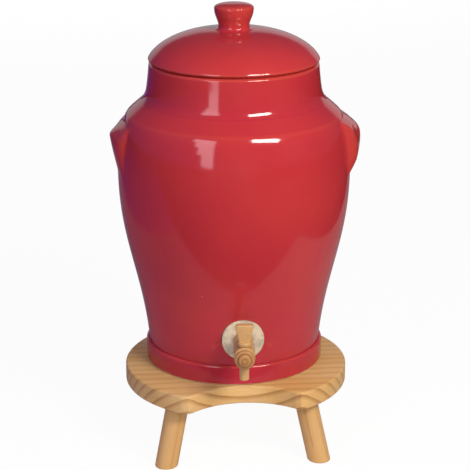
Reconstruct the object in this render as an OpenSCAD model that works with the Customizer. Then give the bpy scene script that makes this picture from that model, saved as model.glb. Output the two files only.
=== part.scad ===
// Five-litre vinegar crock with a wooden plug tap, on a round pine stand.
// Millimetres, +Z up, front towards -Y, origin on the floor below the seat's centre.

/* [Stand] */
// Diameter of the round seat board
seat_d = 190; // [170:1:230]
// Thickness of the seat board
seat_t = 16; // [12:0.5:26]
// Height of the seat's top above the floor
seat_h = 68.5; // [45:0.5:160]
// Radius of the board's eased edges
seat_edge_r = 2; // [0.5:0.1:3]
// Radius of the cut-out for a glass, in the front of the board
cutout_r = 62; // [45:1:90]
// Depth of the cut-out, back from the board's front rim
cutout_depth = 33; // [12:1:42]
// Radius of the board's rounded corners, beside the cut-out
corner_r = 5; // [3.5:0.1:8]
// Diameter of the round legs
leg_d = 19; // [12:0.5:24]
// Distance from the board's rim in to each leg's axis, at the board's underside
leg_inset = 19; // [14:0.5:28]
// Bearing of the front legs from the middle of the front, in degrees
front_leg_spread = 45; // [40:1:55]
// Bearing of the back legs from the middle of the back, in degrees
back_leg_spread = 40; // [25:1:55]
// Lean of the legs from upright, in degrees
leg_splay = 16.5; // [0:0.5:22]
// Wood left above each blind leg socket
socket_cover = 3.5; // [2:0.5:6]
// Radial room for glue round a leg
glue_gap = 0.1; // [0.05:0.05:0.3]

/* [Crock] */
// How far the crock's axis stands behind the seat's centre
crock_setback = 15; // [0:0.5:20]
// Radius of the foot ring
foot_r = 76; // [66:0.5:86]
// Height of the foot ring
foot_h = 17; // [10:0.5:22]
// Radius of the foot ring's rounded edges
foot_edge_r = 2; // [1:0.1:3]
// Step from the foot ring in to the body
foot_step = 2.6; // [1:0.1:5]
// Width of the unglazed standing ring under the foot
standing_ring_w = 12; // [8:0.5:20]
// Depth of the hollow under the base
base_hollow = 2; // [1:0.1:4]
// Greatest radius of the body
belly_r = 98; // [88:0.5:115]
// How far the greatest radius lies below the shoulder's edge
belly_drop = 49; // [20:1:70]
// Height of the shoulder's edge above the crock's base
body_h = 217; // [180:1:260]
// How far the shoulder's edge draws in from the greatest radius
shoulder_draw = 8.5; // [1:0.1:16]
// Height of the sloping shoulder
shoulder_rise = 13.5; // [8:0.5:30]
// Radius of the neck where it leaves the shoulder
neck_r = 75; // [64:0.5:84]
// Length of the neck, up to the rim
neck_len = 29; // [18:0.5:50]
// How far the neck draws in towards the rim
neck_draw = 4; // [0:0.1:8]
// Radius of the rim's rounded edges
rim_edge_r = 2.4; // [1:0.1:3]
// Thickness of the wall
wall = 7.5; // [5.5:0.1:10]
// Thickness of the floor
floor_t = 10; // [6:0.5:16]
// Radius of the inside corner at the floor
floor_corner_r = 12; // [4:0.5:20]

/* [Lugs] */
// How far a lug stands out past the greatest radius
lug_out = 9; // [6:0.1:16]
// Radius of a lug in plan, at its tip
lug_r = 48; // [30:0.5:60]
// Height of a lug, down from the shoulder's edge
lug_h = 56; // [40:1:80]
// Drop from the shoulder's edge to the lug's tip
lug_tip_drop = 17; // [12:0.5:24]
// Radius of the lug's rounded tip
lug_tip_r = 3; // [1:0.1:5]
// How deep a lug's lower end sinks into the wall
lug_sink = 1; // [0.5:0.1:3]
// Room at the luted joint
lute_gap = 0.03; // [0.02:0.01:0.1]

/* [Lid] */
// How far the lid's edge stands out past the rim
lid_overhang = 0.6; // [0:0.1:3]
// Rise from the seat on the rim to the lid's sharp edge
lid_lip = 2.5; // [1.5:0.1:5]
// Height of the dome above the lid's edge
dome_h = 25; // [18:0.5:40]
// Thickness of the lid
lid_t = 7; // [5:0.1:9]
// Length of the flange that hangs inside the neck
flange_len = 10; // [5:0.5:16]
// Thickness of the flange
flange_t = 5; // [3.5:0.1:7]
// Room between the flange and the neck
lid_gap = 1; // [0.5:0.1:2.5]
// Height of the knob above the dome
knob_h = 21; // [12:0.5:30]
// Radius of the knob's neck
knob_neck_r = 12.6; // [8:0.1:15]
// Greatest radius of the knob
knob_r = 16.4; // [12:0.1:22]
// Height of the knob's rounded crown
crown_h = 3.8; // [2:0.1:6]

/* [Tap] */
// Height of the tap's axis above the crock's base
tap_h = 42; // [38:0.5:60]
// How far the tap points to the left in its cork, in degrees
tap_skew = 4; // [0:0.5:8]
// Diameter of the cork where it leaves the wall
cork_d = 35; // [30:0.5:40]
// Length of the cork
cork_len = 25; // [20:0.5:32]
// How far the cork stands out from the wall
cork_out = 3; // [2:0.1:8]
// Fall in diameter along the cork
cork_taper = 3; // [1:0.1:5]
// Radial room at the squeezed cork joints
cork_gap = 0.05; // [0.02:0.01:0.2]
// Diameter of the barrel at the key
barrel_d = 17.2; // [16:0.1:24]
// Diameter of the barrel where it enters the cork
barrel_root_d = 16; // [14:0.1:20]
// Diameter of the barrel's tail end
tail_d = 13.6; // [10:0.1:16]
// How far the tail stands out of the cork inside the crock
tail_out = 7; // [3:0.5:12]
// Diameter of the way for the vinegar in the barrel and the bush
bore_d = 4.4; // [3:0.1:6]
// Distance from the crock's wall to the key's axis
key_out = 35.5; // [28:0.5:60]
// Outer diameter of the cork bush round the key
bush_d = 11.6; // [11:0.1:13]
// Wood in front of the bush, before the nose's groove
nose_wood = 1; // [0.6:0.1:4]
// Width of the groove behind the nose
groove_w = 1.8; // [1:0.1:4]
// Depth of the groove behind the nose
groove_depth = 1.6; // [0.5:0.1:3]
// Width of the bead round the nose
bead_w = 3.6; // [2:0.1:6]
// Diameter of the bead round the nose
bead_d = 16.4; // [14:0.1:22]
// Diameter of the button at the nose's tip
button_d = 11.6; // [6:0.1:13]
// Length of the button at the nose's tip
button_len = 2.6; // [1.5:0.1:5]

/* [Key] */
// Diameter of the plug at the top of the barrel
plug_d = 9.4; // [8.6:0.1:9.8]
// Fall in diameter of the plug through the barrel
plug_taper = 1; // [0.4:0.1:1.2]
// Radial running room round the plug
key_gap = 0.05; // [0.03:0.01:0.1]
// Room between the key's collar and the barrel
collar_gap = 0.3; // [0.2:0.1:1]
// Diameter of the collar
collar_d = 11.4; // [10.6:0.1:13]
// Height of the collar
collar_h = 3; // [1.5:0.1:5]
// Width of the paddle at its top
paddle_w = 14.6; // [11:0.1:22]
// Width of the paddle at the collar
paddle_root_w = 8.8; // [7:0.1:10.5]
// Height of the paddle above the collar
paddle_h = 14.5; // [10:0.5:30]
// Thickness of the paddle
paddle_t = 6; // [4:0.1:8]
// Radius of the paddle's top corners
paddle_corner_r = 2.4; // [1:0.1:4]
// Diameter of the spout
spout_d = 7.8; // [6:0.1:8.2]
// Length of the spout below the barrel
spout_len = 12.5; // [6:0.5:25]
// Diameter of the way down through the spout
outlet_d = 3.6; // [2:0.1:4.5]

/* [Hidden] */
$fn = 96;

// Curve steps and the overshoot of cutting tools
curve_steps = 14;
arc_steps = 5;
cut = 1;

// Colours of the materials
pine = "#D9AC72";
glaze = "#B8323A";
cork = "#CFC3A5";
beech = "#D2A870";

// Stand
seat_r = seat_d / 2;
seat_under_z = seat_h - seat_t;
cutout_at = [0, cutout_depth - seat_r - cutout_r];
leg_r = leg_d / 2;
leg_circle_r = seat_r - leg_inset;
socket_r = leg_r + glue_gap;
socket_depth = (seat_t - socket_cover - socket_r * sin(leg_splay)) / cos(leg_splay);
leg_below = (seat_under_z + leg_d) / cos(leg_splay);

// Crock
root_r = foot_r - foot_step;
root_h = foot_h;
belly_h = body_h - belly_drop;
shoulder_r = belly_r - shoulder_draw;
neck_h = body_h + shoulder_rise;
rim_r = neck_r - neck_draw;
rim_h = neck_h + neck_len;
rim_inner_r = rim_r - wall;

// Lugs: upright spindles that sink into the belly, turned about their own axes
lug_axis_r = belly_r + lug_out - lug_r;
lug_foot_r = lug_r - lug_out - lug_sink;
lug_top_r = lug_r - lug_tip_drop;

// Lid
lid_r = rim_r + lid_overhang;
lid_seat_r = rim_r - rim_edge_r;
flange_r = rim_inner_r - lid_gap;
flange_inner_r = flange_r - flange_t;
lid_edge_h = rim_h + lid_lip;
dome_top_h = lid_edge_h + dome_h;
hollow_r = lid_r - lid_t;
hollow_h = dome_h - lid_t + lid_lip;

// Tap, along its own axis from the crock's axis outwards
wall_r = lookup(tap_h, [for (p = body_curve(0)) [p[1], p[0]]]);
cork_front = wall_r + cork_out;
cork_back = cork_front - cork_len;
tail_end = cork_back - tail_out;
key_at = wall_r + key_out;
bush_r = bush_d / 2;
barrel_r = barrel_d / 2;
groove_at = key_at + bush_r + nose_wood;
bead_at = groove_at + groove_w;
button_at = bead_at + bead_w;
nose_end = button_at + button_len;
barrel_slope = (barrel_root_d - tail_d) / 2 / (cork_front - tail_end);

// Key, along its own axis from the barrel's axis upwards
collar_z = barrel_r + collar_gap;
paddle_z = collar_z + collar_h;
spout_z = -barrel_r - spout_len;
plug_r = plug_d / 2;
plug_foot_r = (plug_d - plug_taper) / 2;

// Point of a cubic curve
function bezier(p, t) =
    pow(1 - t, 3) * p[0] + 3 * t * pow(1 - t, 2) * p[1] + 3 * t * t * (1 - t) * p[2] + pow(t, 3) * p[3];

// Points of a curve, without its first point. How it leaves and arrives are shares of its run and rise
function sweep(first, leave, arrive, last) =
    let (run = last[0] - first[0], rise = last[1] - first[1],
         p1 = first + [leave[0] * run, leave[1] * rise], p2 = last - [arrive[0] * run, arrive[1] * rise])
    [for (i = [1 : curve_steps]) bezier([first, p1, p2, last], i / curve_steps)];

// Points of an arc round a centre
function arc(centre, r, from, to) =
    [for (i = [0 : arc_steps]) let (a = from + (to - from) * i / arc_steps) centre + r * [cos(a), sin(a)]];

// Points of an ellipse, from its crown on the axis down to a radius
function ellipse(r, h, z, last_r) =
    let (last = acos(last_r / r))
    [for (i = [0 : curve_steps]) let (a = 90 + (last - 90) * i / curve_steps)
        [r * cos(a), z + h * sin(a)]];

// Wall of the crock from above the foot ring up to the belly, set in by an amount
function body_curve(inset) =
    let (root = [root_r - inset, root_h], belly = [belly_r - inset, belly_h])
    concat([root], sweep(root, [0.25, 0.42], [0, 0.4], belly));

// Wall of the crock from the belly over the shoulder's edge to the neck's root
function shoulder_curve(inset) =
    let (belly = [belly_r - inset, belly_h],
         edge = [shoulder_r - inset, body_h - inset / 3],
         root = [neck_r - inset, neck_h - inset / 3])
    concat(sweep(belly, [0, 0.5], [0.75, 0.24], edge), sweep(edge, [0.4, 0.4], [0.1, 0.24], root));

// Neck up to the start of the rim's rounding, set in by an amount
function neck_curve(inset) =
    sweep([neck_r - inset, neck_h - inset / 3], [0.5, 0.3],
          [0, 0.35], [rim_r - inset, rim_h - rim_edge_r]);

// Outside of the crock, from the base to the rim
function crock_outside() = concat(
    arc([foot_r - foot_edge_r, foot_edge_r], foot_edge_r, -90, 0),
    arc([foot_r - foot_edge_r, foot_h - foot_edge_r], foot_edge_r, 0, 90),
    body_curve(0), shoulder_curve(0), neck_curve(0),
    arc([rim_r - rim_edge_r, rim_h - rim_edge_r], rim_edge_r, 0, 90));

// Inside of the crock, from the floor to the rim
function crock_inside() =
    let (inside = [for (p = body_curve(wall)) if (p[1] > floor_t + floor_corner_r) p],
         corner = inside[0] - [floor_corner_r, 0])
    concat(
        arc([corner[0], floor_t + floor_corner_r], floor_corner_r, -90, 0),
        inside, shoulder_curve(wall), neck_curve(wall),
        arc([rim_inner_r + rim_edge_r, rim_h - rim_edge_r], rim_edge_r, 180, 90));

// Solid of the crock's outside, grown by an amount, for cutting what is luted to it
module crock_outline(extra) {
    rotate_extrude()
        polygon(concat([[0, 0]], [for (p = crock_outside()) p + [extra, 0]], [[0, rim_h]]));
}

// Places what stands on the seat, on the crock's axis
module on_seat() {
    translate([0, crock_setback, seat_h]) children();
}

// Places what lies along the cork's axis: local Z runs forwards from the crock's axis
module along_cork() {
    on_seat() translate([0, 0, tap_h]) rotate([90, 0, 0]) children();
}

// Turns the tap to the left, about the middle of the cork's front
module askew() {
    on_seat() translate([0, -cork_front, tap_h]) rotate([0, 0, -tap_skew])
        translate([0, cork_front, 0]) children();
}

// Places what lies along the tap's axis: local Z runs forwards from near the crock's axis
module along_tap() {
    askew() rotate([90, 0, 0]) children();
}

// Places what stands on the key's axis: local Z runs up from the barrel's axis
module at_key() {
    askew() translate([0, -key_at, 0]) children();
}

// Places a leg's axis: local Z runs up the leg from the board's underside
module at_leg(side, end) {
    spread = end < 0 ? front_leg_spread : back_leg_spread;
    rotate([0, 0, end * (90 - side * spread)]) translate([leg_circle_r, 0, seat_under_z])
        rotate([0, -leg_splay, 0]) children();
}

// Round dowel, cut level where it meets the floor: side and end are -1 or 1, along X and Y
module leg(side, end) {
    color(pine) difference() {
        at_leg(side, end) translate([0, 0, -leg_below]) cylinder(r = leg_r, h = leg_below + socket_depth);
        translate([-seat_d, -seat_d, -seat_h]) cube([2 * seat_d, 2 * seat_d, seat_h]);
    }
}

module leg_front_left() { leg(-1, -1); }
module leg_front_right() { leg(1, -1); }
module leg_back_left() { leg(-1, 1); }
module leg_back_right() { leg(1, 1); }

// Space of the cut-out, flared so that its edges are eased too
module cutout_space() {
    flare_r = cutout_r + seat_edge_r;
    translate([cutout_at[0], cutout_at[1], 0]) rotate_extrude() polygon(concat(
        [[0, seat_under_z - cut], [flare_r, seat_under_z - cut]],
        arc([flare_r, seat_under_z + seat_edge_r], seat_edge_r, -90, -180),
        arc([flare_r, seat_h - seat_edge_r], seat_edge_r, 180, 90),
        [[flare_r, seat_h + cut], [0, seat_h + cut]]));
}

// Wood cut away outside a rounded corner, whose arc touches the board's rim and the cut-out
module corner_waste(side) {
    rim_reach = seat_r - corner_r;
    cutout_reach = cutout_r + corner_r;
    y = (pow(rim_reach, 2) + pow(cutout_at[1], 2) - pow(cutout_reach, 2)) / 2 / cutout_at[1];
    centre = [side * sqrt(pow(rim_reach, 2) - y * y), y];
    to_rim = centre / rim_reach;
    to_cutout = (cutout_at - centre) / cutout_reach;
    outside = 3 * corner_r;
    translate([0, 0, seat_under_z - cut]) linear_extrude(seat_t + 2 * cut) polygon(concat(
        arc(centre, corner_r, atan2(to_rim[1], to_rim[0]), atan2(to_cutout[1], to_cutout[0])),
        [centre + outside * to_cutout, centre + outside * to_rim]));
}

module seat_board() {
    color(pine) difference() {
        rotate_extrude() polygon(concat(
            [[0, seat_under_z]],
            arc([seat_r - seat_edge_r, seat_under_z + seat_edge_r], seat_edge_r, -90, 0),
            arc([seat_r - seat_edge_r, seat_h - seat_edge_r], seat_edge_r, 0, 90),
            [[0, seat_h]]));
        cutout_space();
        for (side = [-1, 1]) corner_waste(side);
        for (side = [-1, 1], end = [-1, 1])
            at_leg(side, end) translate([0, 0, -leg_d]) cylinder(r = socket_r, h = leg_d + socket_depth);
    }
}

module crock_body() {
    color(glaze) difference() {
        on_seat() rotate_extrude() polygon(concat(
            [[0, base_hollow], [foot_r - standing_ring_w - base_hollow, base_hollow],
             [foot_r - standing_ring_w, 0]],
            crock_outside(),
            [for (i = [len(crock_inside()) - 1 : -1 : 0]) crock_inside()[i]],
            [[0, floor_t]]));
        along_cork() translate([0, 0, cork_back - cut]) cork_cone(cork_len + 2 * cut, cork_gap, -cut);
    }
}

// Cone of the cork's outside, grown by a gap, from a start along its length
module cork_cone(length, gap, start) {
    slope = cork_taper / 2 / cork_len;
    back_r = (cork_d - cork_taper) / 2 + gap + slope * start;
    cylinder(r1 = back_r, r2 = back_r + slope * length, h = length);
}

// Lug on one side: -1 is the left, 1 is the right
module lug(side) {
    foot = [lug_foot_r, body_h - lug_h];
    tip = [lug_r, body_h - lug_tip_drop - lug_tip_r];
    profile = concat(
        [[0, foot[1]], foot],
        sweep(foot, [0.5, 0.31], [0, 0.36], tip),
        arc(tip - [lug_tip_r, 0], lug_tip_r, 0, 45),
        [[lug_top_r, body_h], [0, body_h]]);
    color(glaze) on_seat() difference() {
        translate([side * lug_axis_r, 0, 0]) rotate_extrude() polygon(profile);
        crock_outline(lute_gap);
    }
}

module left_lug() { lug(-1); }
module right_lug() { lug(1); }

module lid() {
    edge = [lid_r, lid_edge_h];
    knob_root = [knob_neck_r, dome_top_h];
    knob_edge = [knob_r, dome_top_h + knob_h - crown_h];
    color(glaze) on_seat() rotate_extrude() polygon(concat(
        ellipse(hollow_r, hollow_h, rim_h, flange_inner_r),
        [[flange_inner_r, rim_h - flange_len], [flange_r, rim_h - flange_len], [flange_r, rim_h],
         [lid_seat_r, rim_h], edge],
        sweep(edge, [0.07, 0.39], [0.6, 0.04], knob_root),
        sweep(knob_root, [0, 0.49], [0, 0.45], knob_edge),
        sweep(knob_edge, [0, 0.72], [0.6, 0], [0, dome_top_h + knob_h])));
}

module cork_bung() {
    past = cut + barrel_root_d * sin(tap_skew);
    color(cork) difference() {
        along_cork() translate([0, 0, cork_back]) cork_cone(cork_len, 0, 0);
        along_tap() translate([0, 0, cork_back - past])
            cylinder(r1 = barrel_radius(cork_back - past) + cork_gap,
                     r2 = barrel_radius(cork_front + past) + cork_gap, h = cork_len + 2 * past);
    }
}

// Radius of the barrel's tapered tail at a distance from the crock's axis
function barrel_radius(at) = tail_d / 2 + barrel_slope * (at - tail_end);

module tap_barrel() {
    groove_r = barrel_r - groove_depth;
    bead_r = bead_d / 2;
    button_r = button_d / 2;
    root = [barrel_radius(cork_front), cork_front];
    outline = concat(
        [[0, tail_end], [tail_d / 2, tail_end], root],
        sweep(root, [0, 0.25], [0, 0.25], [barrel_r, key_at - bush_r]),
        [[barrel_r, groove_at], [groove_r, groove_at], [groove_r, bead_at]],
        arc([bead_r - bead_w / 2, bead_at + bead_w / 2], bead_w / 2, -90, 90),
        [[button_r, button_at]],
        sweep([button_r, button_at], [0, 0.6], [0.7, 0], [0, nose_end]));
    color(beech) difference() {
        along_tap() rotate_extrude() polygon(outline);
        along_tap() translate([0, 0, tail_end - cut]) cylinder(d = bore_d, h = key_at - tail_end + cut);
        at_key() translate([0, 0, -barrel_d]) cylinder(r = bush_r + cork_gap, h = 2 * barrel_d);
    }
}

// Cone of the plug, grown by a gap, between two heights on the key's axis
module plug_cone(low, high, gap) {
    slope = (plug_r - plug_foot_r) / barrel_d;
    middle_r = (plug_r + plug_foot_r) / 2 + gap;
    translate([0, 0, low])
        cylinder(r1 = middle_r + slope * low, r2 = middle_r + slope * high, h = high - low);
}

module key_bush() {
    color(cork) difference() {
        intersection() {
            at_key() translate([0, 0, -barrel_d]) cylinder(r = bush_r, h = 2 * barrel_d);
            along_tap() translate([0, 0, key_at - barrel_r]) cylinder(r = barrel_r, h = barrel_d);
        }
        at_key() plug_cone(-barrel_d, barrel_d, key_gap);
        along_tap() translate([0, 0, key_at - barrel_d]) cylinder(d = bore_d, h = barrel_d);
    }
}

module tap_key() {
    color(beech) at_key() difference() {
        union() {
            plug_cone(-barrel_r, collar_z + cut, 0);
            translate([0, 0, spout_z]) cylinder(d = spout_d, h = spout_len + cut);
            translate([0, 0, collar_z]) cylinder(d = collar_d, h = collar_h);
            translate([0, paddle_t / 2, paddle_z]) rotate([90, 0, 0])
                linear_extrude(paddle_t) paddle_outline();
        }
        translate([0, 0, spout_z - cut]) cylinder(d = outlet_d, h = cut - spout_z);
        rotate([0, 90, 0]) cylinder(d = outlet_d, h = plug_d);
    }
}

// Outline of the paddle, wider at its rounded top
module paddle_outline() {
    top_r = paddle_corner_r;
    half = paddle_w / 2;
    polygon(concat(
        [[-paddle_root_w / 2, -cut], [paddle_root_w / 2, -cut], [paddle_root_w / 2, 0]],
        arc([half - top_r, paddle_h - top_r], top_r, 0, 90),
        arc([top_r - half, paddle_h - top_r], top_r, 90, 180),
        [[-paddle_root_w / 2, 0]]));
}

seat_board();
leg_front_left();
leg_front_right();
leg_back_left();
leg_back_right();
crock_body();
left_lug();
right_lug();
lid();
cork_bung();
tap_barrel();
key_bush();
tap_key();
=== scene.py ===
"""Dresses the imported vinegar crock: glazed stoneware pot and lid, wooden plug tap, pine stand."""

import logging
import math
from collections.abc import Callable, Iterable, Sequence
from dataclasses import dataclass, field
from enum import Enum, IntEnum
from functools import partial

import bmesh
import bpy
from bmesh.types import BMEdge, BMesh, BMFace, BMVert
from mathutils import Euler, Matrix, Quaternion, Vector


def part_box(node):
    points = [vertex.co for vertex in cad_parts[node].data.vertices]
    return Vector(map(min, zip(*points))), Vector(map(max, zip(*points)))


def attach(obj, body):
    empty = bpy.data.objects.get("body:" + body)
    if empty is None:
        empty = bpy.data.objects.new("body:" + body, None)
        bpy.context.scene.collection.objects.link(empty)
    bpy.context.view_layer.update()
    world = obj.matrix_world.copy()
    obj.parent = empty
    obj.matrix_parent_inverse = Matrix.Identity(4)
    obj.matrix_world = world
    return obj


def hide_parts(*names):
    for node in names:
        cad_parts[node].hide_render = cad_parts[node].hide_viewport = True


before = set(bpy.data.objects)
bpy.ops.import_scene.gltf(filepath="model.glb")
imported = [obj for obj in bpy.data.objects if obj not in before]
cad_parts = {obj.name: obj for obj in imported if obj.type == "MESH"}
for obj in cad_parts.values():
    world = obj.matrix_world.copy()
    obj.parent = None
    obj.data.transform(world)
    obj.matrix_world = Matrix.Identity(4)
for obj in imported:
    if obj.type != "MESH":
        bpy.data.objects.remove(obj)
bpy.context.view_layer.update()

MM = 0.001
LOG = logging.getLogger("crock")

# Steps of a full turn on the pot and the lid, and on the tap's small pieces
TURN_STEPS = 192
SMALL_TURN_STEPS = 96
# Steps of the long curve of the pot's wall
WALL_STEPS = 44
# What counts as level, in millimetres
NEAR = 0.1
# The attribute that says how the glaze lies and where light and shade are painted, from -1 where it pools
# and shade is painted to 1 where it runs thin and a highlight is painted
BREAK_AND_LIGHT = "glaze_lie"

Point = tuple[float, float]
Place = tuple[float, float, float]
Colour = tuple[float, float, float, float]
Sockets = dict[str | int, object]
AddNode = Callable[..., bpy.types.Node]


class Body(Enum):
    """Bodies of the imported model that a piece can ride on."""

    STAND = "stand"
    CROCK = "crock"
    LID = "lid"
    KEY = "key"


class Slot(Enum):
    """Material slots of the record."""

    GLAZE = "red_glaze"
    PINE = "pine"
    TAP_WOOD = "tap_wood"
    CORK = "cork"


class Coat(IntEnum):
    """Materials of the pot's and the lid's faces, in the order that these pieces hold them."""

    GLAZE = 0
    LINER = 1
    CLAY = 2


class Joinery(Enum):
    """Ways that a tool shape works on a piece."""

    CUT = "DIFFERENCE"
    FUSE = "UNION"


class Side(IntEnum):
    """Left and right, by their sign along X."""

    LEFT = -1
    RIGHT = 1


class End(IntEnum):
    """Front and back, by their sign along Y."""

    FRONT = -1
    BACK = 1


def packed(node: str) -> tuple[list[float], list[float]]:
    """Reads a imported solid's lowest and highest corners, to a tenth of a millimetre."""
    low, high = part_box(node)
    return [round(v / MM, 1) for v in low], [round(v / MM, 1) for v in high]


BOARD_LOW, BOARD_HIGH = packed("seat_board")
POT_LOW, POT_HIGH = packed("crock_body")


def linear(code: str) -> Colour:
    """Turns an sRGB hex colour into linear light.

    Args:
        code: Six hex digits after a hash.

    Returns:
        Red, green, blue and a full alpha.
    """
    parts = [int(code[i:i + 2], 16) / 255 for i in (1, 3, 5)]
    light = [p / 12.92 if p <= 0.04045 else ((p + 0.055) / 1.055) ** 2.4 for p in parts]
    return light[0], light[1], light[2], 1.0


def per_mm(size: float) -> float:
    """Gives the texture scale at which one feature is a size in millimetres."""
    return 1 / (size * MM)


def ring_scale(spacing: float) -> float:
    """Gives the Wave texture's scale at which its bands lie a spacing in millimetres apart."""
    # The texture multiplies a place by 20, and one band is a full turn of that
    return math.tau / 20 / (spacing * MM)


def add_node(tree: bpy.types.NodeTree, kind: str, sockets: Sockets | None = None,
             **settings: object) -> bpy.types.Node:
    """Adds a shader node with its settings, values and links.

    Args:
        tree: The node tree.
        kind: The node's type, without the word that all shader nodes start with.
        sockets: Input sockets by name or number, each with its value, or with the socket that feeds it,
            or with the node whose first working output does.
        **settings: Properties of the node.

    Returns:
        The new node.
    """
    node = tree.nodes.new(f"ShaderNode{kind}")
    for name, value in settings.items():
        setattr(node, name, value)
    for key, value in (sockets or {}).items():
        socket = node.inputs[key] if isinstance(key, int) else next(
            s for s in node.inputs if s.enabled and s.name == key)
        if isinstance(value, bpy.types.Node):
            value = next(s for s in value.outputs if s.enabled)
        if isinstance(value, bpy.types.NodeSocket):
            tree.links.new(value, socket)
        else:
            socket.default_value = value
    return node


def new_material(name: str) -> tuple[bpy.types.Material, AddNode]:
    """Starts a material with an empty node tree.

    Args:
        name: The substance.

    Returns:
        The material, and add_node for its tree.
    """
    material = bpy.data.materials.new(name)
    material.use_nodes = True
    material.node_tree.nodes.clear()
    return material, partial(add_node, material.node_tree)


def sweep(first: Point, leave: Point, arrive: Point, last: Point, steps: int) -> list[Point]:
    """Draws a cubic curve between two points of a profile.

    Args:
        first: Where the curve starts.
        leave: How it leaves, as shares of its run and rise.
        arrive: How it arrives, as shares of its run and rise.
        last: Where the curve ends.
        steps: Number of pieces.

    Returns:
        Its points, without the first.
    """
    run, rise = last[0] - first[0], last[1] - first[1]
    a, d = Vector(first), Vector(last)
    b = a + Vector((leave[0] * run, leave[1] * rise))
    c = d - Vector((arrive[0] * run, arrive[1] * rise))
    points = []
    for i in range(1, steps + 1):
        t = i / steps
        s = 1 - t
        points.append(tuple(s ** 3 * a + 3 * t * s * s * b + 3 * t * t * s * c + t ** 3 * d))
    return points


def arc(centre: Point, radius: float, start: float, end: float, steps: int) -> list[Point]:
    """Draws an arc of a profile.

    Args:
        centre: The arc's centre.
        radius: The arc's radius.
        start: Its first angle, in degrees.
        end: Its last angle, in degrees.
        steps: Number of pieces.

    Returns:
        Its points, with both ends.
    """
    angles = [math.radians(start + (end - start) * i / steps) for i in range(steps + 1)]
    return [(centre[0] + radius * math.cos(a), centre[1] + radius * math.sin(a)) for a in angles]


def corner(at: Point, radius: float, start: float, end: float, steps: int = 7) -> list[Point]:
    """Draws the quarter arc that rounds a square corner of a profile.

    Args:
        at: The corner before it is rounded.
        radius: The arc's radius.
        start: The arc's first angle, in degrees.
        end: Its last angle, a quarter turn away.
        steps: Number of pieces.

    Returns:
        Its points, with both ends.
    """
    ends = [math.radians(a) for a in (start, end)]
    centre = (at[0] - radius * sum(map(math.cos, ends)), at[1] - radius * sum(map(math.sin, ends)))
    return arc(centre, radius, start, end, steps)


def eased(points: list[Point], bend: Point, reach: float, steps: int = 6) -> list[Point]:
    """Rounds one bend of a profile.

    Args:
        points: The profile.
        bend: The point of it to round.
        reach: How far the rounding reaches along both sides.
        steps: Number of pieces of the rounding.

    Returns:
        The profile with the points near the bend replaced by a curve.
    """
    at = Vector(bend)
    near = [i for i, p in enumerate(points) if (Vector(p) - at).length < reach]
    first, last = near[0], near[-1]
    start = at + (Vector(points[first - 1]) - at).normalized() * reach
    end = at + (Vector(points[last + 1]) - at).normalized() * reach
    shares = [i / steps for i in range(steps + 1)]
    curve = [tuple(start.lerp(at, t).lerp(at.lerp(end, t), t)) for t in shares]
    return points[:first] + curve + points[last + 1:]


def radius_at(points: Sequence[Point], height: float) -> float:
    """Reads the radius of a rising profile at a height, between its points.

    Args:
        points: Radius and height of each point.
        height: Where to read.

    Returns:
        The radius, or the nearest end's radius past either end.
    """
    for (r0, z0), (r1, z1) in zip(points, points[1:]):
        if z0 <= height <= z1 and z1 > z0:
            return r0 + (r1 - r0) * (height - z0) / (z1 - z0)
    return points[0][0] if height < points[0][1] else points[-1][0]


def turned(profile: Sequence[Point], steps: int = TURN_STEPS) -> BMesh:
    """Turns a profile about the upright axis into a closed skin.

    Args:
        profile: Radius and height of each point, with both ends on the axis.
        steps: Number of steps of the full turn, which starts at the front.

    Returns:
        The turned mesh, in millimetres.
    """
    bm = bmesh.new()
    verts = [bm.verts.new((0, -r, z)) for r, z in profile]
    edges = [bm.edges.new(pair) for pair in zip(verts, verts[1:])]
    bmesh.ops.spin(bm, geom=verts + edges, cent=(0, 0, 0), axis=(0, 0, 1), dvec=(0, 0, 0),
                   angle=math.tau, steps=steps, use_merge=True)
    bmesh.ops.remove_doubles(bm, verts=bm.verts, dist=1e-4)
    bmesh.ops.recalc_face_normals(bm, faces=bm.faces)
    return bm


def rod(place: Matrix, low: float, high: float, radii: Point, steps: int = 64) -> BMesh:
    """Makes a straight or tapered rod, to keep or to drill with.

    Args:
        place: The place whose Z axis the rod lies on.
        low: Where the rod starts along that axis.
        high: Where it ends.
        radii: Its radius at both ends.
        steps: Number of sides.

    Returns:
        The closed mesh, in millimetres.
    """
    bm = bmesh.new()
    middle = Matrix.Translation((0, 0, (low + high) / 2))
    bmesh.ops.create_cone(bm, cap_ends=True, segments=steps, radius1=radii[0], radius2=radii[1],
                          depth=high - low, matrix=place @ middle)
    return bm


def ease_edges(bm: BMesh, edges: list[BMEdge], radius: float, steps: int = 4) -> None:
    """Rounds edges of a mesh over."""
    bmesh.ops.bevel(bm, geom=edges, offset=radius, affect="EDGES", segments=steps, profile=0.5,
                    material=-1)


def sawn(outline: Iterable[Place], through: Vector, edge_r: float) -> BMesh:
    """Saws a flat piece of wood to an outline and eases its edges.

    Args:
        outline: The outline of one of its flat faces.
        through: The way from there to the other flat face.
        edge_r: Radius of the eased edges.

    Returns:
        The closed mesh, in millimetres.
    """
    bm = bmesh.new()
    flat = bm.faces.new([bm.verts.new(p) for p in outline])
    grown = bmesh.ops.extrude_face_region(bm, geom=[flat], use_keep_orig=True)["geom"]
    bmesh.ops.translate(bm, vec=through, verts=[g for g in grown if isinstance(g, BMVert)])
    bmesh.ops.recalc_face_normals(bm, faces=bm.faces)
    rims = [e for e in bm.edges if abs((e.verts[0].co - e.verts[1].co).dot(through)) < NEAR]
    ease_edges(bm, rims, edge_r)
    return bm


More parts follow.
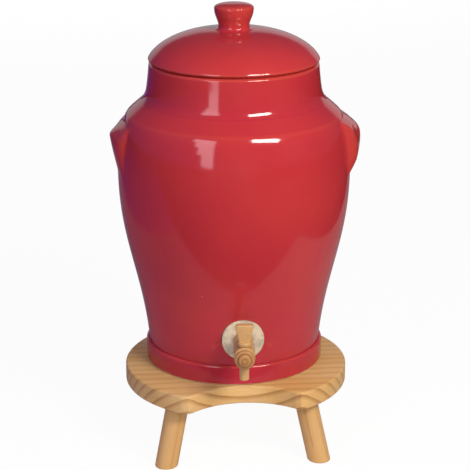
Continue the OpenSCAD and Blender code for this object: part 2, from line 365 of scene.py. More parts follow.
def worked(piece: BMesh, tool: BMesh, how: Joinery) -> BMesh:
    """Cuts a tool shape out of a piece, or fuses it on.

    Args:
        piece: A closed mesh, which is used up.
        tool: Another closed mesh, which is used up.
        how: What the tool does.

    Returns:
        The worked mesh.
    """
    blanks = []
    for label, bm in (("blank", piece), ("tool", tool)):
        mesh = bpy.data.meshes.new(label)
        bm.to_mesh(mesh)
        bm.free()
        blank = bpy.data.objects.new(label, mesh)
        bpy.context.scene.collection.objects.link(blank)
        blanks.append(blank)
    joint = blanks[0].modifiers.new("joinery", "BOOLEAN")
    joint.operation = how.value
    joint.solver = "EXACT"
    joint.object = blanks[1]
    result = bmesh.new()
    result.from_object(blanks[0], bpy.context.evaluated_depsgraph_get())
    for blank in blanks:
        bpy.data.meshes.remove(blank.data)
    return result


def mark_glaze_break_and_painted_light(bm: BMesh, tightest: float = 6) -> None:
    """Marks outer edges, where glaze runs thin and a highlight is painted, and inner corners, where it
    pools and shade is painted.

    Args:
        bm: A mesh in millimetres with its normals right.
        tightest: The bend, as a radius, that counts as a full edge.
    """
    bm.normal_update()
    layer = bm.verts.layers.float.new(BREAK_AND_LIGHT)
    for v in (v for v in bm.verts if not v.is_boundary):
        spans = [e.other_vert(v).co - v.co for e in v.link_edges]
        bends = [0.0]
        for a in spans:
            b = min(spans, key=a.normalized().dot)
            fall = a.normalized().dot(v.normal) + b.normalized().dot(v.normal)
            bends.append(-2 * fall / (a.length + b.length))
        v[layer] = max(-1.0, min(1.0, max(bends, key=abs) * tightest))


def finish_piece(name: str, bm: BMesh, materials: Sequence[bpy.types.Material], body: Body,
                 node: str, sharp: float = 40) -> None:
    """Makes a mesh a piece of the scene.

    Args:
        name: The piece's name.
        bm: Its mesh in millimetres, in its place, which is used up.
        materials: Its materials, in the order that its faces count them.
        body: The body that it moves with.
        node: The solid that it stands for.
        sharp: Edges that turn by more degrees than this stay crisp.
    """
    bmesh.ops.scale(bm, vec=(MM, MM, MM), verts=bm.verts)
    mesh = bpy.data.meshes.new(name)
    bm.to_mesh(mesh)
    bm.free()
    mesh.shade_smooth()
    mesh.set_sharp_from_angle(angle=math.radians(sharp))
    for material in materials:
        mesh.materials.append(material)
    piece = bpy.data.objects.new(name, mesh)
    bpy.context.scene.collection.objects.link(piece)
    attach(piece, body.value)
    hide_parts(node)
    LOG.info("%s: %d faces, on %s", name, len(mesh.polygons), body.value)


@dataclass(frozen=True)
class RedGlaze:
    """Glossy red glaze, dipped and fired on stoneware: deep gloss, brighter over edges from thin glaze
    and a painted highlight, darker in corners from pooled glaze and painted shade.
    """

    name: str = "red_stoneware_glaze"
    full: str = "#A92B33"
    drift: str = "#B03234"
    thin_and_highlight: str = "#BC4A38"
    pooled_and_shade: str = "#8E1C38"
    break_and_light_share: float = 0.4
    foot_dark_from_mm: float = 96
    foot_dark_to_mm: float = 78
    foot_dark_share: float = 0.25
    pit_dark: str = "#5A0C12"
    pit_pale: str = "#D98A84"
    pale_above: float = 0.6
    roughness: Point = (0.07, 0.12)
    ior: float = 1.5
    drift_mm: float = 70
    wave_mm: float = 42
    wave_height_mm: float = 0.16
    peel_mm: float = 4
    peel_height_mm: float = 0.004
    pit_spacing_mm: float = 27
    pit_mm: float = 0.6

    def material(self) -> bpy.types.Material:
        """Builds the glaze's material."""
        material, add = new_material(self.name)
        place = add("TexCoord").outputs["Object"]
        cloud = add("TexNoise", {"Vector": place, "Scale": per_mm(self.drift_mm), "Detail": 3.0})
        share = add("MapRange", {"Value": cloud, "From Min": 0.35, "From Max": 0.65})
        ground = add("Mix", {"Factor": share, "A": linear(self.full), "B": linear(self.drift)},
                     data_type="RGBA")
        # Thin glaze and a painted highlight over edges, pooled glaze and painted shade in corners, and
        # darker towards the foot
        lie_and_light = add("Attribute", attribute_name=BREAK_AND_LIGHT).outputs["Fac"]
        over_edge = add("MapRange", {"Value": lie_and_light, "From Min": 0.1, "From Max": 1.0,
                                     "To Max": self.break_and_light_share})
        thinned_and_highlighted = add("Mix", {"Factor": over_edge, "A": ground, "B": linear(self.thin_and_highlight)},
                      data_type="RGBA")
        in_corner = add("MapRange", {"Value": lie_and_light, "From Min": -0.1, "From Max": -1.0,
                                     "To Max": self.break_and_light_share})
        height = add("SeparateXYZ", {"Vector": place}).outputs["Z"]
        foot_darkened = add("MapRange", {"Value": height, "From Min": self.foot_dark_from_mm * MM,
                                  "From Max": self.foot_dark_to_mm * MM, "To Max": self.foot_dark_share})
        corner_shade_and_foot_dark = add("Math", {0: in_corner, 1: foot_darkened}, operation="MAXIMUM")
        edge_light_and_corner_shade = add("Mix", {"Factor": corner_shade_and_foot_dark, "A": thinned_and_highlighted, "B": linear(self.pooled_and_shade)},
                    data_type="RGBA")
        # A few pinholes, some of them pale
        pits = add("TexVoronoi", {"Vector": place, "Scale": per_mm(self.pit_spacing_mm)})
        kind = add("SeparateColor", {"Color": pits.outputs["Color"]})
        pale = add("Math", {0: kind, 1: self.pale_above}, operation="GREATER_THAN")
        pit = add("Mix", {"Factor": pale, "A": linear(self.pit_dark), "B": linear(self.pit_pale)},
                  data_type="RGBA")
        at_pit = add("Math", {0: pits, 1: self.pit_mm / self.pit_spacing_mm}, operation="LESS_THAN")
        colour = add("Mix", {"Factor": at_pit, "A": edge_light_and_corner_shade, "B": pit}, data_type="RGBA")
        # The thrown wall's slow waves under the glaze's own fine skin
        gloss = add("MapRange", {"Value": cloud, "From Min": 0.3, "From Max": 0.7,
                                 "To Min": self.roughness[0], "To Max": self.roughness[1]})
        wave = add("TexNoise", {"Vector": place, "Scale": per_mm(self.wave_mm), "Detail": 1.0})
        swell = add("Bump", {"Height": wave, "Strength": 1.0, "Distance": self.wave_height_mm * MM})
        peel = add("TexNoise", {"Vector": place, "Scale": per_mm(self.peel_mm)})
        skin = add("Bump", {"Height": peel, "Strength": 1.0, "Normal": swell,
                            "Distance": self.peel_height_mm * MM})
        shader = add("BsdfPrincipled", {"Base Color": colour, "Roughness": gloss, "IOR": self.ior,
                                        "Normal": skin})
        add("OutputMaterial", {"Surface": shader})
        return material


@dataclass(frozen=True)
class PlainClay:
    """Clay or pale glaze with a fine grog speckle: bare it is dull, under clear glaze it shines."""

    name: str
    ground: str
    speck: str
    roughness: float
    ior: float = 1.5
    speck_mm: float = 1.2
    grit_height_mm: float = 0.03

    def material(self) -> bpy.types.Material:
        """Builds the clay's material."""
        material, add = new_material(self.name)
        place = add("TexCoord").outputs["Object"]
        grog = add("TexNoise", {"Vector": place, "Scale": per_mm(self.speck_mm), "Detail": 4.0})
        share = add("MapRange", {"Value": grog, "From Min": 0.52, "From Max": 0.72})
        colour = add("Mix", {"Factor": share, "A": linear(self.ground), "B": linear(self.speck)},
                     data_type="RGBA")
        grit = add("Bump", {"Height": grog, "Strength": 1.0, "Distance": self.grit_height_mm * MM})
        shader = add("BsdfPrincipled", {"Base Color": colour, "Roughness": self.roughness,
                                        "IOR": self.ior, "Normal": grit})
        add("OutputMaterial", {"Surface": shader})
        return material


@dataclass(frozen=True)
class SawnPine:
    """Planed pine under satin clear varnish: pale early wood, honey late-wood lines, dull end grain."""

    name: str
    turn: Place
    shift: Place = (0, 0, 0)
    early: str = "#D0AF7B"
    late: str = "#A0723A"
    end: str = "#A07C4E"
    warm: str = "#CBA05F"
    ring_mm: float = 7.8
    ring_height_mm: float = 0.05
    growth_mm: float = 55
    patch_mm: float = 38
    stretch: float = 0.35
    wander: float = 5
    line_from: float = 0.5
    faintest: float = 0.35
    planed: float = 0.5
    streak_share: float = 0.35
    end_share: float = 0.4
    fibre_mm: float = 0.8
    fibre_length_mm: float = 40
    fibre_height_mm: float = 0.04
    roughness: Point = (0.42, 0.62)
    ior: float = 1.5

    def material(self) -> bpy.types.Material:
        """Builds the wood's material: local X runs along the fibres, Y across the rings."""
        material, add = new_material(self.name)
        coords = add("TexCoord").outputs
        grain = add("Mapping", {"Vector": coords["Object"], "Location": self.shift,
                                "Rotation": self.turn})
        slow = add("Mapping", {"Vector": grain, "Scale": (self.stretch, 1, 1)})
        # Growth rings that wander, each with a soft start and a hard late-wood line
        growth = add("TexNoise", {"Vector": slow, "Scale": per_mm(self.growth_mm), "Detail": 1.0})
        phase = add("Math", {0: growth, 1: self.wander}, operation="MULTIPLY")
        rings = add("TexWave", {"Vector": slow, "Scale": ring_scale(self.ring_mm), "Distortion": 0.5,
                                "Detail": 2.0, "Detail Scale": 0.6, "Phase Offset": phase},
                    wave_type="BANDS", bands_direction="Y", wave_profile="SAW").outputs["Fac"]
        line = add("MapRange", {"Value": rings, "From Min": self.line_from, "From Max": 1.0},
                   interpolation_type="SMOOTHSTEP")
        along = add("Mapping", {"Vector": grain, "Scale": (self.fibre_mm / self.fibre_length_mm, 1, 1)})
        fibre = add("TexNoise", {"Vector": along, "Scale": per_mm(self.fibre_mm), "Detail": 3.0})
        patch = add("TexNoise", {"Vector": slow, "Scale": per_mm(self.patch_mm), "Detail": 2.0})
        tone = add("MapRange", {"Value": patch, "From Min": 0.35, "From Max": 0.65})
        ground = add("Mix", {"Factor": tone, "A": linear(self.early), "B": linear(self.warm)},
                     data_type="RGBA")
        # The lines are faint in patches, and fainter on the planed top than on the sawn sides
        bite = add("MapRange", {"Value": patch, "From Min": 0.3, "From Max": 0.6,
                                "To Min": self.faintest, "To Max": 1.0})
        upward = add("SeparateXYZ", {"Vector": coords["Normal"]}).outputs["Z"]
        on_side = add("MapRange", {"Value": upward, "From Min": 0.4, "From Max": 1.0, "To Min": 1.0,
                                   "To Max": self.planed})
        shown = add("Math", {0: bite, 1: on_side}, operation="MULTIPLY")
        strength = add("Math", {0: line, 1: shown}, operation="MULTIPLY")
        ringed = add("Mix", {"Factor": strength, "A": ground, "B": linear(self.late)}, data_type="RGBA")
        streak = add("MapRange", {"Value": fibre, "From Min": 0.5, "From Max": 0.75,
                                  "To Max": self.streak_share})
        combed = add("Mix", {"Factor": streak, "A": ringed, "B": linear(self.late)}, data_type="RGBA")
        # End grain, where the face lies across the fibres
        facing = add("Mapping", {"Vector": coords["Normal"], "Rotation": self.turn},
                     vector_type="NORMAL")
        endwise = add("SeparateXYZ", {"Vector": facing}).outputs["X"]
        squared = add("Math", {0: endwise, 1: endwise}, operation="MULTIPLY")
        ended = add("Math", {0: squared, 1: self.end_share}, operation="MULTIPLY")
        colour = add("Mix", {"Factor": ended, "A": combed, "B": linear(self.end)}, data_type="RGBA")
        ridge = add("Bump", {"Height": line, "Strength": 1.0, "Distance": self.ring_height_mm * MM})
        nap = add("Bump", {"Height": fibre, "Strength": 1.0, "Normal": ridge,
                           "Distance": self.fibre_height_mm * MM})
        rough = add("MapRange", {"Value": fibre, "To Min": self.roughness[0],
                                 "To Max": self.roughness[1]})
        shader = add("BsdfPrincipled", {"Base Color": colour, "Roughness": rough, "IOR": self.ior,
                                        "Normal": nap})
        add("OutputMaterial", {"Surface": shader})
        return material


@dataclass(frozen=True)
class TurnedBeech:
    """Lathe-turned beech, left bare: smooth tan with short flecks, and browner rings in its end grain."""

    name: str
    centre: Place
    turn: Place
    ground: str = "#BE9662"
    fleck: str = "#A47A46"
    end: str = "#8E5A28"
    end_from_mm: float = 1000
    end_over_mm: float = 3
    ring_mm: float = 3.1
    ring_faintest: float = 0.3
    fleck_mm: float = 0.5
    fleck_length_mm: float = 4
    fleck_height_mm: float = 0.03
    fleck_share: float = 0.6
    roughness: Point = (0.4, 0.6)
    ior: float = 1.5

    def material(self) -> bpy.types.Material:
        """Builds the wood's material: local Z runs along the fibres, from the centre."""
        material, add = new_material(self.name)
        place = add("TexCoord").outputs["Object"]
        centred = add("VectorMath", {0: place, 1: self.centre}, operation="SUBTRACT")
        grain = add("Mapping", {"Vector": centred, "Rotation": self.turn})
        along = add("Mapping", {"Vector": grain, "Scale": (1, 1, self.fleck_mm / self.fleck_length_mm)})
        flecks = add("TexNoise", {"Vector": along, "Scale": per_mm(self.fleck_mm), "Detail": 2.0})
        amount = add("MapRange", {"Value": flecks, "From Min": 0.5, "From Max": 0.75,
                                  "To Max": self.fleck_share})
        side = add("Mix", {"Factor": amount, "A": linear(self.ground), "B": linear(self.fleck)},
                   data_type="RGBA")
        # Rings in the end grain, from where the nose starts
        rings = add("TexWave", {"Vector": grain, "Scale": ring_scale(self.ring_mm), "Distortion": 0.6,
                                "Detail Scale": 0.4},
                    wave_type="RINGS", rings_direction="Z", wave_profile="SAW").outputs["Fac"]
        forward = add("SeparateXYZ", {"Vector": grain}).outputs["Z"]
        nose = add("MapRange", {"Value": forward, "From Min": self.end_from_mm * MM,
                                "From Max": (self.end_from_mm + self.end_over_mm) * MM})
        ringed = add("MapRange", {"Value": rings, "To Min": self.ring_faintest, "To Max": 1.0})
        share = add("Math", {0: nose, 1: ringed}, operation="MULTIPLY")
        colour = add("Mix", {"Factor": share, "A": side, "B": linear(self.end)}, data_type="RGBA")
        nap = add("Bump", {"Height": flecks, "Strength": 1.0, "Distance": self.fleck_height_mm * MM})
        rough = add("MapRange", {"Value": flecks, "To Min": self.roughness[0],
                                 "To Max": self.roughness[1]})
        shader = add("BsdfPrincipled", {"Base Color": colour, "Roughness": rough, "IOR": self.ior,
                                        "Normal": nap})
        add("OutputMaterial", {"Surface": shader})
        return material


@dataclass(frozen=True)
class Cork:
    """Natural cork, cut and sanded: dull cream with grey clouds and dark, crumbly flecks."""

    name: str = "natural_cork"
    ground: str = "#CBBCA2"
    cloud: str = "#AAA28E"
    fleck: str = "#7A6A50"
    cloud_mm: float = 6
    cell_mm: float = 1.1
    cell_height_mm: float = 0.15
    cell_strength: float = 0.6
    fleck_mm: float = 1.6
    fleck_share: float = 0.75
    fleck_depth_mm: float = 0.2
    roughness: float = 0.85
    ior: float = 1.4

    def material(self) -> bpy.types.Material:
        """Builds the cork's material."""
        material, add = new_material(self.name)
        place = add("TexCoord").outputs["Object"]
        clouds = add("TexNoise", {"Vector": place, "Scale": per_mm(self.cloud_mm), "Detail": 3.0})
        cloudy = add("MapRange", {"Value": clouds, "From Min": 0.4, "From Max": 0.65})
        ground = add("Mix", {"Factor": cloudy, "A": linear(self.ground), "B": linear(self.cloud)},
                     data_type="RGBA")
        dots = add("TexNoise", {"Vector": place, "Scale": per_mm(self.fleck_mm), "Detail": 2.0,
                                "Roughness": 0.7})
        crumbs = add("MapRange", {"Value": dots, "From Min": 0.58, "From Max": 0.72,
                                  "To Max": self.fleck_share})
        colour = add("Mix", {"Factor": crumbs, "A": ground, "B": linear(self.fleck)}, data_type="RGBA")
        cells = add("TexVoronoi", {"Vector": place, "Scale": per_mm(self.cell_mm)})
        cellular = add("Bump", {"Height": cells, "Strength": self.cell_strength,
                                "Distance": self.cell_height_mm * MM})
        hollow = add("Bump", {"Height": crumbs, "Strength": 1.0, "Normal": cellular,
                              "Distance": self.fleck_depth_mm * MM}, invert=True)
        shader = add("BsdfPrincipled", {"Base Color": colour, "Roughness": self.roughness,
                                        "IOR": self.ior, "Normal": hollow})
        add("OutputMaterial", {"Surface": shader})
        return material


@dataclass
class Finishes:
    """The materials that several pieces share."""

    glaze: bpy.types.Material
    liner: bpy.types.Material
    clay: bpy.types.Material
    cork: bpy.types.Material

    @classmethod
    def mixed(cls) -> "Finishes":
        """Builds the shared materials."""
        liner = PlainClay("cream_liner_glaze", ground="#E4D9BF", speck="#C9B48F", roughness=0.15,
                          grit_height_mm=0.005)
        clay = PlainClay("bare_stoneware", ground="#C8AE8C", speck="#9C7F5E", roughness=0.85)
        return cls(RedGlaze().material(), liner.material(), clay.material(), Cork().material())

    def coats(self) -> list[bpy.types.Material]:
        """Lists the materials of the pot and the lid in the order of Coat."""
        return [self.glaze, self.liner, self.clay]


@dataclass
class Pot:
    """The thrown pot with its foot ring, belly, shoulder, neck and tap hole."""

    setback: float = (POT_LOW[1] + POT_HIGH[1]) / 2
    stands_at: float = POT_LOW[2]
    foot_r: float = 76
    foot_h: float = 17
    foot_edge_r: float = 2
    foot_step: float = 2.6
    foot_leave: Point = (0.25, 0.42)
    standing_ring_w: float = 12
    base_hollow: float = 2
    belly_r: float = (POT_HIGH[0] - POT_LOW[0]) / 2
    belly_h: float = 168
    belly_arrive: Point = (0, 0.4)
    belly_leave: Point = (0, 0.5)
    edge_r: float = 89.5
    edge_h: float = 217
    edge_arrive: Point = (0.62, 0.15)
    edge_leave: Point = (0.4, 0.4)
    edge_ease: float = 1.2
    neck_r: float = 74.3
    neck_h: float = 231.8
    neck_arrive: Point = (0.1, 0.24)
    neck_leave: Point = (0.5, 0.3)
    neck_ease: float = 4.5
    rim_r: float = 71
    rim_h: float = POT_HIGH[2] - POT_LOW[2]
    rim_arrive: Point = (0.25, 0.35)
    rim_edge_r: float = 2.4
    wall: float = 7.5
    floor_t: float = 10
    floor_corner_r: float = 12
    inside_steps: int = 26
    tap_h: float = 42
    hole_r: float = 17.35
    hole_inner_r: float = 16.9
    hole_lip: float = 0.8
    lip_turns: tuple[float, ...] = (22, 45, 67, 90)
    patch: float = 23
    faces_down: float = -0.5
    faces_up: float = 0.7

    def place(self) -> Matrix:
        """Gives the pot's place on the stand."""
        return Matrix.Translation((0, self.setback, self.stands_at))

    def wall_curve(self, inset: float = 0, steps: int = WALL_STEPS) -> list[Point]:
        """Draws the wall from above the foot ring to the rim's rounding.

        Args:
            inset: How far inside the pot's outside it runs.
            steps: Number of pieces of the long curve of the body.

        Returns:
            Its points, rising.
        """
        # The inside's bends lie a little lower than the outside's
        drop = inset / 3
        root = (self.foot_r - self.foot_step - inset, self.foot_h)
        belly = (self.belly_r - inset, self.belly_h)
        edge = (self.edge_r - inset, self.edge_h - drop)
        neck = (self.neck_r - inset, self.neck_h - drop)
        rim = (self.rim_r - inset, self.rim_h - self.rim_edge_r)
        points = [root] + sweep(root, self.foot_leave, self.belly_arrive, belly, steps)
        points += sweep(belly, self.belly_leave, self.edge_arrive, edge, steps // 2)
        points += sweep(edge, self.edge_leave, self.neck_arrive, neck, steps // 2)
        points += sweep(neck, self.neck_leave, self.rim_arrive, rim, steps // 2)
        return eased(eased(points, edge, self.edge_ease, steps=3), neck, self.neck_ease)

    def outside(self) -> list[Point]:
        """Draws the outside, from the standing ring to the top of the rim."""
        ring = corner((self.foot_r, 0), self.foot_edge_r, -90, 0)
        ring += corner((self.foot_r, self.foot_h), self.foot_edge_r, 0, 90)
        return ring + self.wall_curve() + corner((self.rim_r, self.rim_h), self.rim_edge_r, 0, 90)[1:]

    def inside(self) -> list[Point]:
        """Draws the inside, from the floor to the top of the rim."""
        corner_top = self.floor_t + self.floor_corner_r
        wall = [p for p in self.wall_curve(self.wall, self.inside_steps) if p[1] > corner_top]
        floor = corner((wall[0][0], self.floor_t), self.floor_corner_r, -90, 0)
        return floor + wall + corner((self.rim_r - self.wall, self.rim_h), self.rim_edge_r, 180, 90)[1:]

    def profile(self) -> list[Point]:
        """Draws the whole section, from the middle of the base round to the middle of the floor."""
        ring_r = self.foot_r - self.standing_ring_w
        base = [(0, self.base_hollow), (ring_r - self.base_hollow, self.base_hollow), (ring_r, 0)]
        return base + self.outside() + self.inside()[::-1] + [(0, self.floor_t)]

    def lay_on_wall(self, verts: Iterable[BMVert], inset: float, sunk: float = 0) -> None:
        """Moves points along Y on to the front of the wall, or behind it.

        Args:
            verts: The points.
            inset: Which skin of the wall: 0 outside, the wall's thickness inside.
            sunk: How far behind that skin the points lie.
        """
        curve = self.wall_curve(inset)
        for v in verts:
            r = radius_at(curve, v.co.z)
            v.co.y = sunk - math.sqrt(r * r - v.co.x ** 2)

    def ring_in_wall(self, bm: BMesh, inset: float, radius: float) -> list[BMEdge]:
        """Opens a patch in one skin of the wall and closes it up again to a ring.

        Args:
            bm: The pot.
            inset: Which skin of the wall: 0 outside, the wall's thickness inside.
            radius: The ring's radius round the tap's axis.

        Returns:
            The ring's edges.
        """
        outward = 1 if inset == 0 else -1
        middle = Vector((0, 0, self.tap_h))

        def in_patch(face: BMFace) -> bool:
            """Says whether a face lies in the patch."""
            off = face.calc_center_median() - middle
            return (off.y < 0 and abs(off.x) < self.patch and abs(off.z) < self.patch
                    and off.xy.length > self.belly_r / 2
                    and outward * face.normal.xy.dot(off.xy) > 0)

        faces = {f for f in bm.faces if in_patch(f)}
        border = [e for e in {e for f in faces for e in f.edges}
                  if sum(f in faces for f in e.link_faces) == 1]
        bmesh.ops.delete(bm, geom=list(faces), context="FACES")
        turn = Matrix.Translation(middle) @ Matrix.Rotation(math.radians(90), 4, "X")
        ring = bmesh.ops.create_circle(bm, radius=radius, segments=len(border), matrix=turn)["verts"]
        self.lay_on_wall(ring, inset)
        edges = list({e for v in ring for e in v.link_edges})
        rungs = bmesh.ops.bridge_loops(bm, edges=border + edges)["edges"]
        inner = bmesh.ops.subdivide_edges(bm, edges=rungs, cuts=3, use_grid_fill=True)["geom_inner"]
        self.lay_on_wall([g for g in inner if isinstance(g, BMVert)], inset)
        return edges

    def open_tap_hole(self, bm: BMesh) -> None:
        """Cuts the hole for the cork through the wall, with a rounded, glazed lip outside."""
        loop = self.ring_in_wall(bm, 0, self.hole_r + self.hole_lip)
        back = self.ring_in_wall(bm, self.wall, self.hole_inner_r)
        for turn in map(math.radians, self.lip_turns):
            grown = bmesh.ops.extrude_edge_only(bm, edges=loop)["geom"]
            verts = [g for g in grown if isinstance(g, BMVert)]
            loop = [g for g in grown if isinstance(g, BMEdge)]
            for v in verts:
                off = Vector((v.co.x, 0, v.co.z - self.tap_h))
                off = off.normalized() * (self.hole_r + self.hole_lip * (1 - math.sin(turn)))
                v.co.x, v.co.z = off.x, off.z + self.tap_h
            self.lay_on_wall(verts, 0, self.hole_lip * (1 - math.cos(turn)))
        bmesh.ops.bridge_loops(bm, edges=loop + back)

    def coat(self, bm: BMesh) -> None:
        """Gives each face of the pot its material: red outside, liner inside, bare clay below."""
        for face in bm.faces:
            middle = face.calc_center_median()
            inward = face.normal.xy.dot(middle.xy) < 0
            on_floor = face.normal.z > self.faces_up and middle.xy.length < self.foot_r - self.wall
            if middle.z < self.base_hollow + NEAR and face.normal.z < self.faces_down:
                face.material_index = Coat.CLAY
            elif self.floor_t - NEAR < middle.z < self.rim_h - self.rim_edge_r and (inward or on_floor):
                face.material_index = Coat.LINER

    def build(self, finishes: Finishes) -> None:
        """Turns, pierces and glazes the pot."""
        bm = turned(self.profile())
        self.open_tap_hole(bm)
        bmesh.ops.recalc_face_normals(bm, faces=bm.faces)
        self.coat(bm)
        mark_glaze_break_and_painted_light(bm)
        bmesh.ops.transform(bm, matrix=self.place(), verts=bm.verts)
        finish_piece("pot_glazed", bm, finishes.coats(), Body.CROCK, "crock_body")


@dataclass
class Lug:
    """A solid clay lug, pressed and smoothed on to the pot's side, so that it grows out of the wall."""

    pot: Pot
    side: Side
    out: float = 9
    span: float = 30
    core_r: float = 82
    foot_h: float = 161
    foot_sink: float = 1
    foot_leave: Point = (0.5, 0.31)
    tip_h: float = 198
    tip_arrive: Point = (0, 0.36)
    tip_leave: Point = (0.06, 0.12)
    top_h: float = 212.5
    top_draw: float = 14
    top_arrive: Point = (0.5, 0.5)
    run_in: Point = (5, 12)
    run_out: Point = (30, 10)
    crisp_tip: float = 2
    soft_tip: float = 15
    softening: float = 1.5
    fullness: float = 3
    # How much paler and more orange the whole lug is painted: painted light that brightens its face
    paleness: float = 0.7
    blend: float = 0.9
    half_width: float = 50
    reach: Point = (150, 221)
    columns: int = 150
    rows: int = 130
    halvings: int = 24
    least_lift: float = 0.05
    root_depth: float = 3

    def section(self, rounding: float) -> list[Point]:
        """Draws the lug's outermost line, rising from below its foot to above its top.

        Args:
            rounding: How far along the line the tip is rounded.

        Returns:
            The points, as radius from the pot's axis and height.
        """
        foot = (self.pot.belly_r - self.foot_sink, self.foot_h)
        tip = (self.pot.belly_r + self.out, self.tip_h)
        top = (tip[0] - self.top_draw, self.top_h)
        below = (foot[0] - self.run_in[0], foot[1] - self.run_in[1])
        above = (top[0] - self.run_out[0], top[1] + self.run_out[1])
        points = [below, foot] + sweep(foot, self.foot_leave, self.tip_arrive, tip, steps=24)
        points += sweep(tip, self.tip_leave, self.top_arrive, top, steps=16) + [above]
        return eased(points, tip, rounding, steps=16)

    def outermost(self, angle: float, height: float, crisp: list[Point], soft: list[Point]) -> float:
        """Gives the lug's greatest radius at a height, its ridge softening towards the lug's ends.

        Args:
            angle: Angle about the pot's axis from the lug's middle, in radians.
            height: The height on the pot.
            crisp: The section through the lug's middle.
            soft: The section near its ends.

        Returns:
            The radius from the pot's axis.
        """
        share = min(1, self.softening * abs(math.sin(angle)) * self.pot.belly_r / self.span)
        ease = share * share * (3 - 2 * share)
        return radius_at(crisp, height) * (1 - ease) + radius_at(soft, height) * ease

    def lift(self, angle: float, wall: float, outermost: float) -> float:
        """Gives how far the blended lug, a full oval in plan, stands out of the wall.

        Args:
            angle: Angle about the pot's axis from the lug's middle, in radians.
            wall: The wall's radius at that height.
            outermost: The lug's greatest radius from the pot's axis at that height.

        Returns:
            The distance along the pot's radius.
        """
        deep = outermost - self.core_r
        low, high = self.core_r, outermost
        for _ in range(self.halvings):
            reach = (low + high) / 2
            along = abs(reach * math.cos(angle) - self.core_r) / deep
            across = abs(reach * math.sin(angle)) / self.span
            if along ** self.fullness + across ** self.fullness < 1:
                low = reach
            else:
                high = reach
        near = max(self.blend - abs(reach - wall), 0) / self.blend
        return max(reach, wall) + near * near * self.blend / 4 - wall

    def build(self, finishes: Finishes) -> None:
        """Forms the lug as a skin over the wall and roots it in the clay."""
        crisp, soft = self.section(self.crisp_tip), self.section(self.soft_tip)
        wall_curve = self.pot.wall_curve()
        bm = bmesh.new()
        bmesh.ops.create_grid(bm, x_segments=self.columns, y_segments=self.rows, size=1)
        low, high = self.reach
        thin_and_highlight = bm.verts.layers.float.new(BREAK_AND_LIGHT)
        lifts = {}
        for v in bm.verts:
            angle = v.co.x * self.half_width / self.pot.belly_r
            height = low + (high - low) * (v.co.y + 1) / 2
            wall = radius_at(wall_curve, height)
            lifts[v] = self.lift(angle, wall, self.outermost(angle, height, crisp, soft))
            # Painted light: the lug is marked paler and more orange as it stands out of the wall, to
            # brighten its face
            v[thin_and_highlight] = self.paleness * min(1, lifts[v] / self.blend)
            r = wall + lifts[v]
            v.co = (self.side * r * math.cos(angle), r * math.sin(angle), height)
        bare = [f for f in bm.faces if max(lifts[v] for v in f.verts) < self.least_lift]
        bmesh.ops.delete(bm, geom=bare, context="FACES")
        root = bmesh.ops.extrude_face_region(bm, geom=list(bm.faces), use_keep_orig=True)["geom"]
        for v in (g for g in root if isinstance(g, BMVert)):
            r = radius_at(wall_curve, v.co.z) - self.root_depth
            v.co.xy = v.co.xy.normalized() * r
        bmesh.ops.recalc_face_normals(bm, faces=bm.faces)
        bmesh.ops.transform(bm, matrix=self.pot.place(), verts=bm.verts)
        node = f"{self.side.name.lower()}_lug"
        finish_piece(f"{node}_glazed", bm, [finishes.glaze], Body.CROCK, node)


